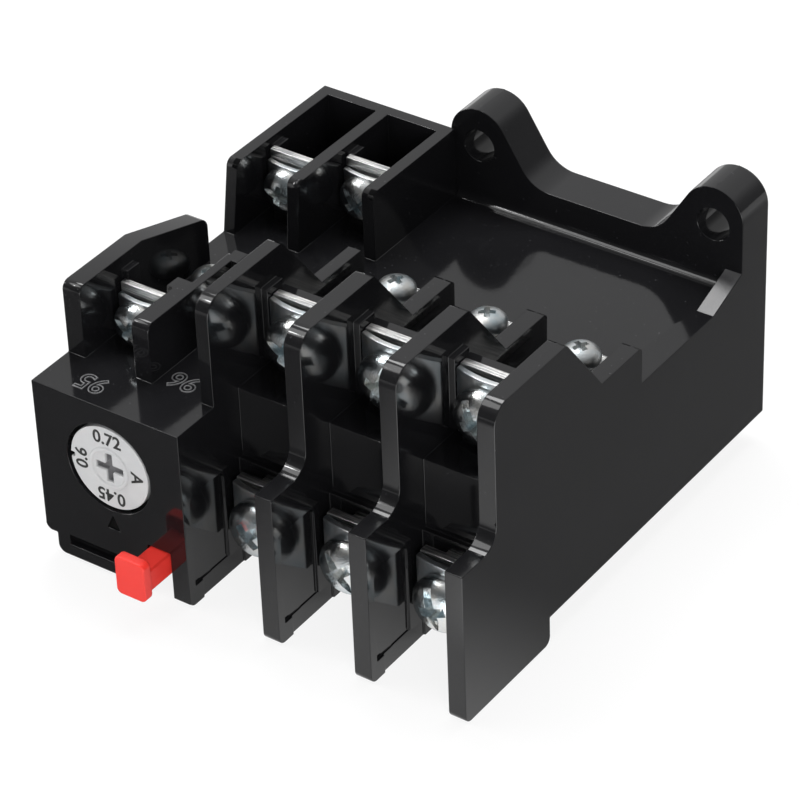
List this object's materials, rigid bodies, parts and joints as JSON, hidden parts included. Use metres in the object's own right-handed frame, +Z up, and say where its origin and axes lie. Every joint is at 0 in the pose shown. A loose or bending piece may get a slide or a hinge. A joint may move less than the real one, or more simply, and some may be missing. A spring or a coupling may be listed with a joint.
{
  "type": "thermal overload relay",
  "caption": "Black moulded thermal overload relay with barrier walls between screw terminals, auxiliary bays, a setting dial, a reset button and mounting ears.",
  "frame": {"origin": "midway between the two ear bores on the rear mounting face", "axes": "+X across the poles from the dial side, +Y to the mounting face, +Z up towards the ears"},
  "size_m": [0.066, 0.0777, 0.0431],
  "materials": {
    "black_moulding": "glossy black thermoset moulding",
    "black_cover": "black moulded cover",
    "slide_laminate": "brown insulating laminate",
    "lever_moulding": "natural moulded lever",
    "white_dial": "white moulded dial",
    "cam_moulding": "white moulded cam",
    "red_button": "red moulded button",
    "spring_steel": "drawn spring wire",
    "zinc_screws": "bright zinc plated steel",
    "zinc_washers": "bright zinc plated steel",
    "plated_strip": "plated terminal strip",
    "bracket_steel": "plated steel bracket",
    "bimetal": "rolled bimetal",
    "heater_wire": "resistance wire on a sleeve",
    "pin_steel": "ground steel pin",
    "contact_silver": "silver contact bridge"
  },
  "bodies": {
    "base": {"housing": "black_moulding", "base_cover": "black_cover", "cover_screws": "zinc_screws", "line_terminal_1": "plated_strip", "line_terminal_2": "plated_strip", "line_terminal_3": "plated_strip", "load_terminal_1": "plated_strip", "load_terminal_2": "plated_strip", "load_terminal_3": "plated_strip", "main_clamp_washers": "zinc_washers", "main_terminal_screws": "zinc_screws", "aux_strip_nc_first": "plated_strip", "aux_strip_nc_second": "plated_strip", "aux_strip_no_first": "plated_strip", "aux_strip_no_second": "plated_strip", "aux_clamp_washers": "zinc_washers", "aux_terminal_screws": "zinc_screws", "heater_fixing_screws": "zinc_screws", "aux_fixing_screw": "zinc_screws", "bimetal_bracket_1": "bracket_steel", "bimetal_bracket_2": "bracket_steel", "bimetal_bracket_3": "bracket_steel", "bimetal_strip_1": "bimetal", "bimetal_strip_2": "bimetal", "bimetal_strip_3": "bimetal", "heater_winding_1": "heater_wire", "heater_winding_2": "heater_wire", "heater_winding_3": "heater_wire", "lever_pin": "pin_steel", "contact_pin": "pin_steel", "reset_spring": "spring_steel"},
    "dial": {"setting_dial": "white_dial", "setting_cam": "cam_moulding"},
    "arm": {"setting_arm": "lever_moulding"},
    "button": {"reset_button": "red_button"},
    "slides": {"differential_slide": "slide_laminate", "trip_slide": "slide_laminate"},
    "lever": {"compensating_lever": "lever_moulding"},
    "contacts": {"contact_bar": "lever_moulding", "bridge_contact_nc": "contact_silver", "bridge_contact_no": "contact_silver"}
  },
  "joints": [
    {"name": "dial_turn", "type": "hinge", "parent": "base", "child": "dial", "pos_m": [-0.0317, -0.0716, -0.0182], "axis": [0, -1, 0], "range_deg": [0, 180]},
    {"name": "arm_follow", "type": "hinge", "parent": "base", "child": "arm", "pos_m": [-0.0371, -0.0256, -0.0147], "axis": [0, 0, 1], "range_deg": [-2.6, 0]},
    {"name": "reset_press", "type": "slide", "parent": "base", "child": "button", "axis": [0, 1, 0], "range_m": [0, 0.003], "stiffness_N_per_m": 150, "springref_m": -0.002, "deforming": ["reset_spring"]},
    {"name": "slide_shift", "type": "slide", "parent": "base", "child": "slides", "axis": [-1, 0, 0], "range_m": [0, 0.0012]},
    {"name": "lever_swing", "type": "hinge", "parent": "base", "child": "lever", "pos_m": [-0.0371, -0.0256, -0.0209], "axis": [0, 0, 1], "range_deg": [0, 4.9]},
    {"name": "contact_swing", "type": "hinge", "parent": "base", "child": "contacts", "pos_m": [-0.0288, -0.0336, -0.0209], "axis": [0, 0, 1], "range_deg": [0, 9.2]}
  ],
  "couplings": [
    {"joint": "arm_follow", "follows": "dial_turn", "ratio": -0.014222},
    {"joint": "lever_swing", "follows": "slide_shift", "rad_per_m": 70.4},
    {"joint": "contact_swing", "follows": "slide_shift", "rad_per_m": 132.4}
  ]
}
